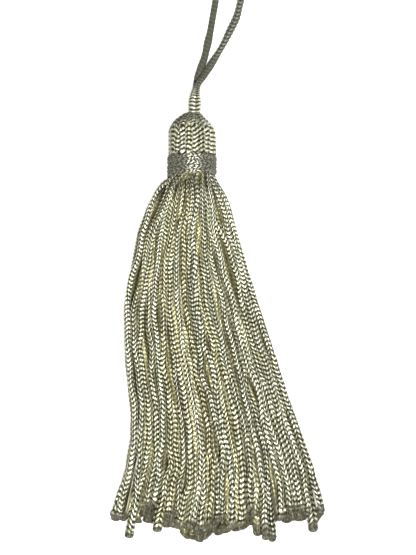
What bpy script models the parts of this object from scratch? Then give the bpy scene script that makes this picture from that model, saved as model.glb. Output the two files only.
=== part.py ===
"""A chainette tassel lying on its back: a domed head, a wound neck binding, a skirt of cords and a hanging loop.

Metres, +Z up. The tassel lies along Y with its head towards +Y and its skirt towards -Y, and everything
that touches the surface is at z = 0. The pieces are laid out in the maker's own measures: "across" is the
distance from the head's axis, towards +X, and "down" is the distance from the top of the head towards the ends
of the skirt. Then the whole tassel is moved so that its box, without the loop, is centred on the origin.
"""

import math
from collections import namedtuple

import bmesh
import bpy
import numpy as np

GAP = 0.0003  # between pieces that touch in the real tassel

# Head: the cords folded over the loop, gathered into a dome
HEAD_CORDS = 20
RIB_POINTS = 4
RIB_DEPTH = 0.00042
RIB_ROUNDNESS = 0.7
RIB_START = 3  # a rib has its full depth from a third of the way down
HEAD_WIDTH = 0.0120
HEAD_HEIGHT = 0.0118  # its thickness from front to back
HEAD_RINGS = 11
HEAD_RING_SPACING = 1.35  # above 1, the rings are closer together near the top

# Neck binding: one cord wound round four times
TURNS = 4
TURN_WIDTH = 0.00116
TURN_POINTS = 4
BINDING_RADIUS = 0.00625
GROOVE_DEPTH = 0.0003
RIDGE_ROUNDNESS = 0.6
BINDING_THICKNESS = 0.00085
BINDING_SEGMENTS = 40
BINDING_SLANT = 0.0003  # the binding runs a little lower on its left
AXIS_HEIGHT = 0.00616  # less than the binding's radius, so that the binding has a small flat spot below

# Skirt: cut cords that leave the binding as a round bundle and fan out into a low heap
CORDS = 84
NECK_PITCH = 0.00098  # from cord to cord where the binding squeezes them
CORD_DIAMETER = 0.00185
EASE_LENGTH = 0.026  # how far below the neck the cords have swollen to their full size
SIDE_SHARE = 0.64  # side of a cord's square solid, as a share of the pitch
STRAY = 0.0004  # how far a cord wanders from its place in the fan
WANDER_KEPT = 0.6  # how much of its wandering a cord keeps from row to row
LAYER_STEP = 0.0042  # how much sooner the topmost cords end than the lowest
RAGGED = 0.0007
ROOT_DEPTH = 0.0006  # how far the cords reach into the bundle that joins them
SETTLING_STEPS = 140
SETTLING_SHARE = 0.45  # what either of two cords gives way of their overlap at each step
SETTLING_DROP = 0.0006  # how far a cord with room below it sinks between two rows
SEED = 7

# Loop: one cord, doubled, both ends held in the head
LOOP_DIAMETER = 0.0018
LOOP_POINT_STEP = 0.0021

HeadRow = namedtuple("HeadRow", "down left right")
HEAD = (
    HeadRow(0.0000, -0.0011, 0.0019),
    HeadRow(0.0004, -0.0020, 0.0025),
    HeadRow(0.0015, -0.0034, 0.0031),
    HeadRow(0.0025, -0.0047, 0.0042),
    HeadRow(0.0039, -0.0059, 0.0053),
    HeadRow(0.0055, -0.0061, 0.0059),
    HeadRow(0.0082, -0.0060, 0.0060),
    HeadRow(0.0101, -0.0059, 0.0059),
    HeadRow(0.0109, -0.0056, 0.0056),
)

SkirtRow = namedtuple("SkirtRow", "down left right crown")
SKIRT = (
    SkirtRow(0.0161, -0.0050, 0.0050, 0.0112),
    SkirtRow(0.0177, -0.0076, 0.0067, 0.0120),
    SkirtRow(0.0201, -0.0094, 0.0081, 0.0122),
    SkirtRow(0.0243, -0.0116, 0.0098, 0.0121),
    SkirtRow(0.0302, -0.0139, 0.0113, 0.0115),
    SkirtRow(0.0381, -0.0153, 0.0136, 0.0107),
    SkirtRow(0.0489, -0.0172, 0.0169, 0.0096),
    SkirtRow(0.0619, -0.0169, 0.0211, 0.0085),
    SkirtRow(0.0768, -0.0153, 0.0260, 0.0077),
    SkirtRow(0.0889, -0.0167, 0.0302, 0.0070),
    SkirtRow(0.1000, -0.0202, 0.0328, 0.0064),
)

EndRow = namedtuple("EndRow", "across down")
ENDS = (
    EndRow(-0.0209, 0.1015),
    EndRow(-0.0166, 0.1019),
    EndRow(-0.0154, 0.1056),
    EndRow(-0.0141, 0.1017),
    EndRow(-0.0113, 0.1015),
    EndRow(-0.0082, 0.1039),
    EndRow(-0.0048, 0.1031),
    EndRow(-0.0007, 0.1053),
    EndRow(0.0032, 0.1065),
    EndRow(0.0072, 0.1047),
    EndRow(0.0126, 0.1035),
    EndRow(0.0162, 0.1053),
    EndRow(0.0182, 0.1033),
    EndRow(0.0201, 0.1065),
    EndRow(0.0219, 0.1029),
    EndRow(0.0269, 0.1017),
    EndRow(0.0302, 0.1037),
    EndRow(0.0322, 0.0996),
)

RoutePoint = namedtuple("RoutePoint", "across down height")
LOOP_ROUTE = (
    RoutePoint(0.00020, -0.0003, 0.00530),
    RoutePoint(0.00020, -0.0018, 0.00520),
    RoutePoint(0.00030, -0.0036, 0.00450),
    RoutePoint(0.00045, -0.0052, 0.00310),
    RoutePoint(0.00065, -0.0068, 0.00180),
    RoutePoint(0.00095, -0.0086, 0.00105),
    RoutePoint(0.00130, -0.0103, 0.00090),
    RoutePoint(0.00205, -0.0124, 0.00090),
    RoutePoint(0.00300, -0.0151, 0.00090),
    RoutePoint(0.00370, -0.0182, 0.00090),
    RoutePoint(0.00450, -0.0220, 0.00090),
    RoutePoint(0.00515, -0.0258, 0.00090),
    RoutePoint(0.00575, -0.0293, 0.00090),
    RoutePoint(0.00620, -0.0326, 0.00090),
    RoutePoint(0.00630, -0.0358, 0.00090),
    RoutePoint(0.00670, -0.0386, 0.00090),
    RoutePoint(0.00800, -0.0411, 0.00090),
    RoutePoint(0.01015, -0.0422, 0.00090),
    RoutePoint(0.01240, -0.0413, 0.00090),
    RoutePoint(0.01375, -0.0389, 0.00090),
    RoutePoint(0.01370, -0.0359, 0.00090),
    RoutePoint(0.01290, -0.0326, 0.00090),
    RoutePoint(0.01210, -0.0292, 0.00090),
    RoutePoint(0.01120, -0.0257, 0.00090),
    RoutePoint(0.00970, -0.0225, 0.00090),
    RoutePoint(0.00785, -0.0187, 0.00090),
    RoutePoint(0.00615, -0.0157, 0.00095),
    RoutePoint(0.00460, -0.0129, 0.00105),
    RoutePoint(0.00330, -0.0102, 0.00160),
    RoutePoint(0.00200, -0.0078, 0.00330),
    RoutePoint(0.00110, -0.0052, 0.00530),
    RoutePoint(0.00115, -0.0025, 0.00675),
    RoutePoint(0.00115, -0.0003, 0.00690),
)


def clear_scene():
    for obj in list(bpy.data.objects):
        bpy.data.objects.remove(obj, do_unlink=True)


def material(name, colour, roughness):
    made = bpy.data.materials.new(name)
    made.use_nodes = True
    shader = made.node_tree.nodes["Principled BSDF"]
    shader.inputs["Base Color"].default_value = (*colour, 1.0)
    shader.inputs["Roughness"].default_value = roughness
    shader.inputs["Metallic"].default_value = 0.0
    return made


def add_object(name, data, finish):
    obj = bpy.data.objects.new(name, data)
    data.materials.append(finish)
    bpy.context.scene.collection.objects.link(obj)
    return obj


def column(rows, name, down):
    """One column of a table, read between its rows at these distances down."""
    return np.interp(down, [row.down for row in rows], [getattr(row, name) for row in rows])


def rings_mesh(name, rings, closed_ring=False):
    """A closed mesh over rings of equal length: capped at both ends, or joined end to end."""
    mesh = bmesh.new()
    loops = [[mesh.verts.new(point) for point in ring] for ring in rings]
    pairs = list(zip(loops, loops[1:]))
    if closed_ring:
        pairs.append((loops[-1], loops[0]))
    for upper, lower in pairs:
        count = len(upper)
        for i in range(count):
            j = (i + 1) % count
            mesh.faces.new((upper[i], upper[j], lower[j], lower[i]))
    if not closed_ring:
        mesh.faces.new(loops[0])
        mesh.faces.new(loops[-1])
    bmesh.ops.recalc_face_normals(mesh, faces=mesh.faces)
    data = bpy.data.meshes.new(name)
    mesh.to_mesh(data)
    mesh.free()
    return data


def build_head(finish):
    """The dome: its outline from the table, with a raised rib for each folded cord."""
    points = HEAD_CORDS * RIB_POINTS
    rings = []
    for share in np.linspace(0.0, 1.0, HEAD_RINGS):
        down = HEAD[-1].down * share**HEAD_RING_SPACING
        left, right = column(HEAD, "left", down), column(HEAD, "right", down)
        wide = (right - left) / 2
        tall = wide * HEAD_HEIGHT / HEAD_WIDTH
        rib = RIB_DEPTH * min(1.0, RIB_START * share)
        ring = []
        for i in range(points):
            turn = 2 * math.pi * i / points
            lobe = rib * (1 - abs(math.sin(HEAD_CORDS / 2 * turn)) ** RIB_ROUNDNESS)
            ring.append(
                (
                    (left + right) / 2 + (wide - lobe) * math.cos(turn),
                    -down,
                    AXIS_HEIGHT + (tall - lobe) * math.sin(turn),
                )
            )
        rings.append(ring)
    head = add_object("head", rings_mesh("head", rings), finish)
    head.data.shade_smooth()
    head.data.set_sharp_from_angle(angle=math.radians(60))
    return head


def build_binding(finish):
    """The wound ring: a low ridge for each turn, with its underside pressed flat on the surface."""
    top = HEAD[-1].down + GAP
    inner = BINDING_RADIUS - BINDING_THICKNESS
    profile = [(top + TURNS * TURN_WIDTH, inner), (top, inner)]
    for i in range(TURNS * TURN_POINTS + 1):
        share = i / TURN_POINTS
        ridge = abs(math.sin(math.pi * share)) ** RIDGE_ROUNDNESS
        profile.append((top + share * TURN_WIDTH, BINDING_RADIUS - GROOVE_DEPTH * (1 - ridge)))
    rings = []
    for i in range(BINDING_SEGMENTS):
        turn = 2 * math.pi * (i + 0.5) / BINDING_SEGMENTS
        slant = BINDING_SLANT * (1 - math.cos(turn)) / 2
        rings.append(
            [
                (
                    radius * math.cos(turn),
                    -(down + slant),
                    max(0.0, AXIS_HEIGHT + radius * math.sin(turn)),
                )
                for down, radius in profile
            ]
        )
    binding = add_object("neck_binding", rings_mesh("neck_binding", rings, closed_ring=True), finish)
    binding.data.shade_smooth()
    binding.data.set_sharp_from_angle(angle=math.radians(50))
    return binding


def cord_pitch(down):
    """From cord to cord: squeezed at the neck, full size once they have eased."""
    share = min(1.0, max(0.0, (down - SKIRT[0].down) / EASE_LENGTH))
    return NECK_PITCH + (CORD_DIAMETER - NECK_PITCH) * math.sin(share * math.pi / 2)


def push_apart(places, pitch, share):
    """Moves cords that are nearer than the pitch away from each other, each by this share of the shortfall."""
    gap = places[:, None, :] - places[None, :, :]
    far = np.sqrt((gap**2).sum(axis=2)) + np.eye(len(places))
    short = np.clip(pitch - far, 0.0, None) / far
    return places + share * (gap * short[:, :, None]).sum(axis=1)


def cord_places():
    """Across and height of every cord at every row of the skirt table, from the neck down.

    The bundle starts as an even round packing. At each row it is stretched to the row's width and pressed
    to its crown, and the cords then push each other apart until none lies inside another.
    """
    chance = np.random.default_rng(SEED)
    order = np.arange(CORDS)
    ring = np.sqrt((order + 0.5) / CORDS)
    turn = order * math.pi * (3 - math.sqrt(5))
    share = np.stack([ring * np.cos(turn), ring * np.sin(turn)], axis=1)
    wander = chance.normal(0.0, 1.0, CORDS)
    rows = []
    for number, row in enumerate(SKIRT):
        pitch = cord_pitch(row.down)
        middle = np.array([(row.left + row.right) / 2, row.crown / 2])
        reach = np.array([row.right - row.left - pitch, row.crown - pitch]) / 2
        if number == 0:
            middle[1] = AXIS_HEIGHT
            reach[1] = reach[0]
        places = middle + share * reach
        fresh = chance.normal(0.0, 1.0, CORDS)
        wander = WANDER_KEPT * wander + math.sqrt(1 - WANDER_KEPT**2) * fresh
        if number > 1:
            places[:, 0] += STRAY * wander
        for step in range(SETTLING_STEPS):
            if number > 2:
                places[:, 1] -= SETTLING_DROP / SETTLING_STEPS
            places = push_apart(places, pitch, SETTLING_SHARE)
            if number:
                places[:, 0] = np.clip(places[:, 0], row.left + pitch / 2, row.right - pitch / 2)
                places[:, 1] = np.clip(places[:, 1], pitch / 2, row.crown - pitch / 2)
        share = (places - middle) / reach
        rows.append(places)
    return np.array(rows)


def cord_path(places, number, chance_end):
    """Centre points of one cord as (across, down, height), cut off at its own length."""
    downs = [row.down for row in SKIRT]
    across, height = places[:, number, 0], places[:, number, 1]
    level = (height[-1] - CORD_DIAMETER / 2) / (SKIRT[-1].crown - CORD_DIAMETER)
    lowest = np.interp(across[-1], [row.across for row in ENDS], [row.down for row in ENDS])
    end = lowest - LAYER_STEP * level + RAGGED * chance_end
    run = (end - downs[-2]) / (downs[-1] - downs[-2])
    points = [(across[i], downs[i], height[i]) for i in range(len(downs) - 1)]
    points.append(
        (
            across[-2] + run * (across[-1] - across[-2]),
            end,
            max(CORD_DIAMETER / 2, height[-2] + run * (height[-1] - height[-2])),
        )
    )
    return points


def cord_solid(mesh, path):
    """One cord of four sides, with flat undersides so that the lowest cords lie on the surface."""
    loops = []
    for across, down, height in path:
        pitch = cord_pitch(down)
        half = SIDE_SHARE * pitch / 2
        low = height - pitch / 2
        corners = ((-half, 0.0), (half, 0.0), (half, 2 * half), (-half, 2 * half))
        loops.append([mesh.verts.new((across + x, -down, max(0.0, low + z))) for x, z in corners])
    for upper, lower in zip(loops, loops[1:]):
        for i in range(4):
            j = (i + 1) % 4
            mesh.faces.new((upper[i], upper[j], lower[j], lower[i]))
    mesh.faces.new(loops[0])
    mesh.faces.new(loops[-1])


def build_skirt(finish):
    """All the cut cords, joined at their roots by the squeezed bundle that the binding holds."""
    places = cord_places()
    chance = np.random.default_rng(SEED + 1)
    ragged = chance.normal(0.0, 1.0, CORDS)
    mesh = bmesh.new()
    for number in range(CORDS):
        cord_solid(mesh, cord_path(places, number, ragged[number]))
    bmesh.ops.recalc_face_normals(mesh, faces=mesh.faces)
    cords = bpy.data.meshes.new("cords")
    mesh.to_mesh(cords)
    mesh.free()
    cutter = bpy.data.objects.new("cords", cords)
    bpy.context.scene.collection.objects.link(cutter)
    cutter.hide_render = True
    cutter.display_type = "WIRE"

    radius = BINDING_RADIUS - BINDING_THICKNESS - GAP
    top = HEAD[-1].down + GAP
    bottom = SKIRT[0].down + ROOT_DEPTH
    rings = []
    for down in (top, bottom):
        turns = [2 * math.pi * i / BINDING_SEGMENTS for i in range(BINDING_SEGMENTS)]
        rings.append([(radius * math.cos(t), -down, AXIS_HEIGHT + radius * math.sin(t)) for t in turns])
    skirt = add_object("skirt", rings_mesh("skirt", rings), finish)
    join = skirt.modifiers.new("roots", "BOOLEAN")
    join.operation = "UNION"
    join.solver = "EXACT"
    join.object = cutter
    return skirt, cutter


def smooth_route(route, step):
    """Points about a step apart on a smooth curve through the route's own points."""
    given = np.array([(point.across, -point.down, point.height) for point in route])
    padded = np.vstack([2 * given[0] - given[1], given, 2 * given[-1] - given[-2]])
    points = []
    for i in range(1, len(padded) - 2):
        a, b, c, d = padded[i - 1 : i + 3]
        pieces = max(1, round(float(np.linalg.norm(c - b)) / step))
        for k in range(pieces):
            t = k / pieces
            points.append(
                0.5 * (2 * b + (c - a) * t + (2 * a - 5 * b + 4 * c - d) * t**2 + (3 * b - a - 3 * c + d) * t**3)
            )
    points.append(given[-1])
    return points


def build_loop(finish):
    """The hanging cord: out of the head, round its bight and back in, lying on the surface."""
    curve = bpy.data.curves.new("hanging_loop", "CURVE")
    curve.dimensions = "3D"
    curve.bevel_depth = LOOP_DIAMETER / 2
    curve.bevel_resolution = 2
    curve.use_fill_caps = True
    points = smooth_route(LOOP_ROUTE, LOOP_POINT_STEP)
    spline = curve.splines.new("POLY")
    spline.points.add(len(points) - 1)
    for target, point in zip(spline.points, points):
        target.co = (*point, 1.0)
    return add_object("hanging_loop", curve, finish)


def centre_on_origin(pieces, followers):
    """Moves everything so that the box of these pieces is centred on the origin in X and Y."""
    bpy.context.view_layer.update()
    graph = bpy.context.evaluated_depsgraph_get()
    corners = []
    for piece in pieces:
        mesh = piece.evaluated_get(graph).to_mesh()
        corners += [tuple(piece.matrix_world @ vertex.co) for vertex in mesh.vertices]
        piece.evaluated_get(graph).to_mesh_clear()
    corners = np.array(corners)
    middle = (corners.min(axis=0) + corners.max(axis=0)) / 2
    for piece in (*pieces, *followers):
        piece.location = (-middle[0], -middle[1], 0.0)


def main():
    clear_scene()
    glossy = material("rayon chainette", (0.60, 0.60, 0.44), 0.42)
    wound = material("wound chainette", (0.40, 0.40, 0.31), 0.5)
    dull = material("loop chainette", (0.42, 0.43, 0.34), 0.5)
    head = build_head(glossy)
    binding = build_binding(wound)
    skirt, cutter = build_skirt(glossy)
    loop = build_loop(dull)
    centre_on_origin((head, binding, skirt), (cutter, loop))


main()
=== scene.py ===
import math

import bpy
import numpy as np
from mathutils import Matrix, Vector


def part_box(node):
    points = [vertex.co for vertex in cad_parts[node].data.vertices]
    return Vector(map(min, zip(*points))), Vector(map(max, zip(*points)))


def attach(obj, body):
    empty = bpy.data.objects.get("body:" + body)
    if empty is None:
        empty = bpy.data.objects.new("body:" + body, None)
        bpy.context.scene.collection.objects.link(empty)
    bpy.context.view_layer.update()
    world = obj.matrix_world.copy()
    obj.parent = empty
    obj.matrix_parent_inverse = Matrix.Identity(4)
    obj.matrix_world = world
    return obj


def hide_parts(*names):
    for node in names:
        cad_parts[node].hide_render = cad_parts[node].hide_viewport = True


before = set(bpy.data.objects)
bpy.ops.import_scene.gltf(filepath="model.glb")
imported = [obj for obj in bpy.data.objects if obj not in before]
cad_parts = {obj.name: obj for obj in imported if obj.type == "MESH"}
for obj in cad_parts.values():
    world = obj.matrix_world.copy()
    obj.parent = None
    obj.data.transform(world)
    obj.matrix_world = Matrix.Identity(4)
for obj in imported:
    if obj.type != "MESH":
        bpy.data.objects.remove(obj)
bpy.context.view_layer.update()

print("tassel: frame loaded")

# Places are given across from the head's axis, down from its top and in height over the surface
bindingLow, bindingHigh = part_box("neck_binding")
axisX = (bindingLow.x + bindingHigh.x) / 2
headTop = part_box("head")[1].y
axisHeight = 0.00616  # of the head and the neck over the surface
upward = (0.0, 0.0, 1.0)


def place(across, down, height):
    across, down, height = np.broadcast_arrays(across, down, height)
    return np.stack([axisX + across, headTop - down, height], axis=-1)


def readColumn(rows, number, at):  # a table's column at places of its first one
    table = np.array(rows)
    return np.interp(at, table[:, 0], table[:, number])


def between(pair, share):
    return pair[0] + (pair[1] - pair[0]) * share


def smoothStep(values, start, end):
    share = np.clip((np.asarray(values, float) - start) / (end - start), 0.0, 1.0)
    return share * share * (3 - 2 * share)


def lengthsAlong(route):
    return np.concatenate([[0.0], np.cumsum(np.linalg.norm(np.diff(route, axis=0), axis=1))])


def smoothRoute(points, step):  # points about a step apart on a curve through the given ones
    given = np.array(points, float)
    padded = np.vstack([2 * given[0] - given[1], given, 2 * given[-1] - given[-2]])
    found = []
    for i in range(1, len(padded) - 2):
        a, b, c, d = padded[i - 1:i + 3]
        pieces = max(1, round(float(np.linalg.norm(c - b)) / step))
        for k in range(pieces):
            t = k / pieces
            found.append(0.5 * (2 * b + (c - a) * t + (2 * a - 5 * b + 4 * c - d) * t**2
                                + (3 * b - a - 3 * c + d) * t**3))
    found.append(given[-1])
    return np.array(found)


def smoothColumn(at, values, wanted):  # a smooth curve through values at uneven distances
    slope = np.gradient(values, at)
    i = np.clip(np.searchsorted(at, wanted) - 1, 0, len(at) - 2)
    width = at[i + 1] - at[i]
    t = np.clip((wanted - at[i]) / width, 0.0, 1.0)
    return ((2 * t**3 - 3 * t**2 + 1) * values[i] + (t**3 - 2 * t**2 + t) * width * slope[i]
            + (3 * t**2 - 2 * t**3) * values[i + 1] + (t**3 - t**2) * width * slope[i + 1])


# Camera, light and floor

viewpoint = {
    "elevation": math.radians(84),  # above the surface, from the skirt's end
    "distance": 0.45,
    "pictureHeight": 0.13875,  # what the picture takes in at that distance
    "aim": (0.00391, 0.04151, 0.004),  # across, down, height of the picture's middle
    "clipStart": 0.01,
}
studio = {
    "floorSize": 6.0,
    "floorDrop": 0.0001,
    "floorColour": (0.36, 0.36, 0.355),
    "floorRoughness": 0.9,
    "floorGlow": 0.93,
    "skyColour": (1.0, 1.0, 1.0),
    "skyStrength": 0.16,
    "lamps": (  # name, power, size, place from the picture's middle
        ("keyLamp", 6.0, 0.05, (0.05, -0.18, 0.58)),
        ("fillLamp", 0.4, 0.7, (-0.5, 0.3, 0.7)),
    ),
}


def addObject(name, data):
    obj = bpy.data.objects.new(name, data)
    bpy.context.scene.collection.objects.link(obj)
    return obj


def addMesh(name, vertices, faces, material):
    mesh = bpy.data.meshes.new(name)
    mesh.from_pydata(vertices, [], faces)
    mesh.materials.append(material)
    return addObject(name, mesh)


def addAimed(name, data, direction, distance=1.0):  # looks at the picture's middle
    obj = addObject(name, data)
    obj.location = Vector(place(*viewpoint["aim"])) + distance * Vector(direction)
    obj.rotation_mode = "QUATERNION"
    obj.rotation_quaternion = (-Vector(direction)).to_track_quat("-Z", "Y")
    return obj


def makeCamera():
    data = bpy.data.cameras.new("camera")
    data.lens = data.sensor_width * viewpoint["distance"] / viewpoint["pictureHeight"]
    data.clip_start = viewpoint["clipStart"]
    back = (0, -math.cos(viewpoint["elevation"]), math.sin(viewpoint["elevation"]))
    bpy.context.scene.camera = addAimed("camera", data, back, viewpoint["distance"])


def makeLamp(name, power, size, offset):
    data = bpy.data.lights.new(name, "AREA")
    data.energy = power
    data.shape = "DISK"
    data.size = size
    addAimed(name, data, offset)


class Wire:  # a node's output that can stand in sums
    def __init__(self, graph, socket):
        self.graph = graph
        self.socket = socket

    def worked(self, operation, *others):  # what a Math node makes of it
        return self.graph.node("ShaderNodeMath", {"operation": operation}, [self, *others])

    def __add__(self, other):
        return self.worked("ADD", other)

    __radd__ = __add__

    def __sub__(self, other):
        return self.worked("SUBTRACT", other)

    def __rsub__(self, other):
        return self.graph.node("ShaderNodeMath", {"operation": "SUBTRACT"}, [other, self])

    def __mul__(self, other):
        return self.worked("MULTIPLY", other)

    __rmul__ = __mul__

    def __pow__(self, other):
        return self.worked("POWER", other)


class Graph:  # a material's nodes
    def __init__(self, tree):
        self.tree = tree

    def node(self, kind, settings, values, output=0):
        made = self.tree.nodes.new(kind)
        for name, value in settings.items():
            if name == "stops":
                self.setStops(made.color_ramp, value)
            else:
                setattr(made, name, value)
        pairs = values.items() if isinstance(values, dict) else enumerate(values)
        for name, value in pairs:
            if isinstance(value, Wire):
                self.tree.links.new(value.socket, made.inputs[name])
            else:
                made.inputs[name].default_value = value
        return Wire(self, made.outputs[output]) if made.outputs else made

    def setStops(self, ramp, stops):
        while len(ramp.elements) < len(stops):
            ramp.elements.new(1.0)
        for element, (position, colour) in zip(ramp.elements, stops):
            element.position = position
            element.color = (*colour, 1.0)

    def ramp(self, factor, positions, colours):
        return self.node("ShaderNodeValToRGB", {"stops": list(zip(positions, colours))}, [factor])

    def mixColour(self, factor, first, second, blend="MIX"):
        settings = {"data_type": "RGBA", "blend_type": blend}
        first, second = [c if isinstance(c, Wire) else (*c, 1.0) for c in (first, second)]
        return self.node("ShaderNodeMix", settings, {0: factor, 6: first, 7: second}, output=2)

    def noise(self, spot, scale, detail):
        return self.node("ShaderNodeTexNoise", {}, {"Vector": spot, "Scale": scale, "Detail": detail})

    def attribute(self, name):
        return self.node("ShaderNodeAttribute", {"attribute_name": name}, {}, output=2)

    def surface(self, values):
        shader = self.node("ShaderNodeBsdfPrincipled", {}, values)
        self.node("ShaderNodeOutputMaterial", {}, {"Surface": shader})


def newMaterial(name):
    made = bpy.data.materials.new(name)
    made.use_nodes = True
    made.node_tree.nodes.clear()
    return made, Graph(made.node_tree)


def makeStudio():
    for lamp in studio["lamps"]:
        makeLamp(*lamp)
    sky = bpy.data.worlds.new("sky")
    sky.use_nodes = True
    background = sky.node_tree.nodes["Background"]
    background.inputs[0].default_value = (*studio["skyColour"], 1.0)
    background.inputs[1].default_value = studio["skyStrength"]
    bpy.context.scene.world = sky
    material, graph = newMaterial("paleFloor")
    graph.surface({
        "Base Color": (*studio["floorColour"], 1.0), "Roughness": studio["floorRoughness"],
        "Emission Color": (1.0, 1.0, 1.0, 1.0), "Emission Strength": studio["floorGlow"],
    })
    half = studio["floorSize"] / 2
    corners = [(-half, -half), (half, -half), (half, half), (-half, half)]
    floor = addMesh("floor", [(x, y, -studio["floorDrop"]) for x, y in corners], [(0, 1, 2, 3)], material)
    bpy.context.scene.view_settings.view_transform = "Standard"


makeCamera()
makeStudio()
print("tassel: camera and studio ready")

# Chainette: a narrow knitted tube, two wales of V stitches with a ladder of short bars between them

chainette = {
    "pitch": 0.00107,  # from stitch to stitch along the cord
    "leg": math.radians(65),  # what one leg of a V takes of the tube
    "bar": math.radians(50),
    "lean": 0.8,  # how far a leg climbs, in stitches
    "relief": 0.34,  # depth of the grooves as a share of the radius
    "legEnds": 0.22,  # height of a leg where it dives under its neighbour
    "roundness": 0.8,
    "leanFade": 2.0,  # stitches over which the V opens at either end
    "cutLength": 0.0011,  # the frayed end of a cut cord
    "wholeCut": 0.3,  # the last share of it, which is frayed through
    "cutGrooves": 0.7,  # how much of the grooves it loses
    "spread": 0.22,  # how much wider a frayed end is
    "lumps": 0.09,
    "fineLumps": 0.4,
    "tip": ((0.3, 0.88), (0.5, 0.55)),  # the rounded end: how far out and how wide
    "tipLength": 0.6,
    "tipStitch": 0.25,  # stitches from ring to ring of it
}
finishParts = ("tone", "warm", "cut", "root", "fuzz")
fineDetail = {"rows": 4, "columns": 3}
plainDetail = {"rows": 3, "columns": 2}


def chainetteColumns(columns):  # angle, sector and climb of each line of points round the tube
    angle, around, climb = [], [], []
    start = 0.0
    for sector, kind in enumerate((1, -1, 0, 1, -1, 0)):
        width = chainette["leg"] if kind else chainette["bar"]
        for k in range(columns):
            share = k / columns
            angle.append(start + share * width)
            around.append(sector + share)
            climb.append({1: share, -1: 1 - share, 0: 0.0}[kind])
        start += width
    return np.array(angle) - chainette["leg"], np.array(around), np.array(climb)


def tubeFaces(around, stitch):  # a tube's faces, the fans at its ends, and where they lie on the stitches
    total, columns = len(stitch), len(around)
    edge = np.append(around, 6.0)
    i, j = np.divmod(np.arange((total - 1) * columns), columns)
    corners = ((i, j), (i, j + 1), (i + 1, j + 1), (i + 1, j))
    quads = np.stack([row * columns + column % columns for row, column in corners], axis=1)
    quadMap = np.stack([np.stack([edge[column], stitch[row]], 1) for row, column in corners], axis=1)
    j = np.arange(columns)
    k = (j + 1) % columns
    top, first = (total - 1) * columns, total * columns
    fans = np.concatenate([
        np.stack([k, j, 0 * j + first], 1), np.stack([top + j, top + k, 0 * j + first + 1], 1),
    ])
    fanMap = np.concatenate([
        np.stack([np.stack([spot, j * 0.0], 1) for spot in spots], axis=1)
        for spots in ((edge[j + 1], edge[j], edge[j] + 0.5), (edge[j], edge[j + 1], edge[j] + 0.5))
    ])
    return quads, fans, quadMap, fanMap


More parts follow.
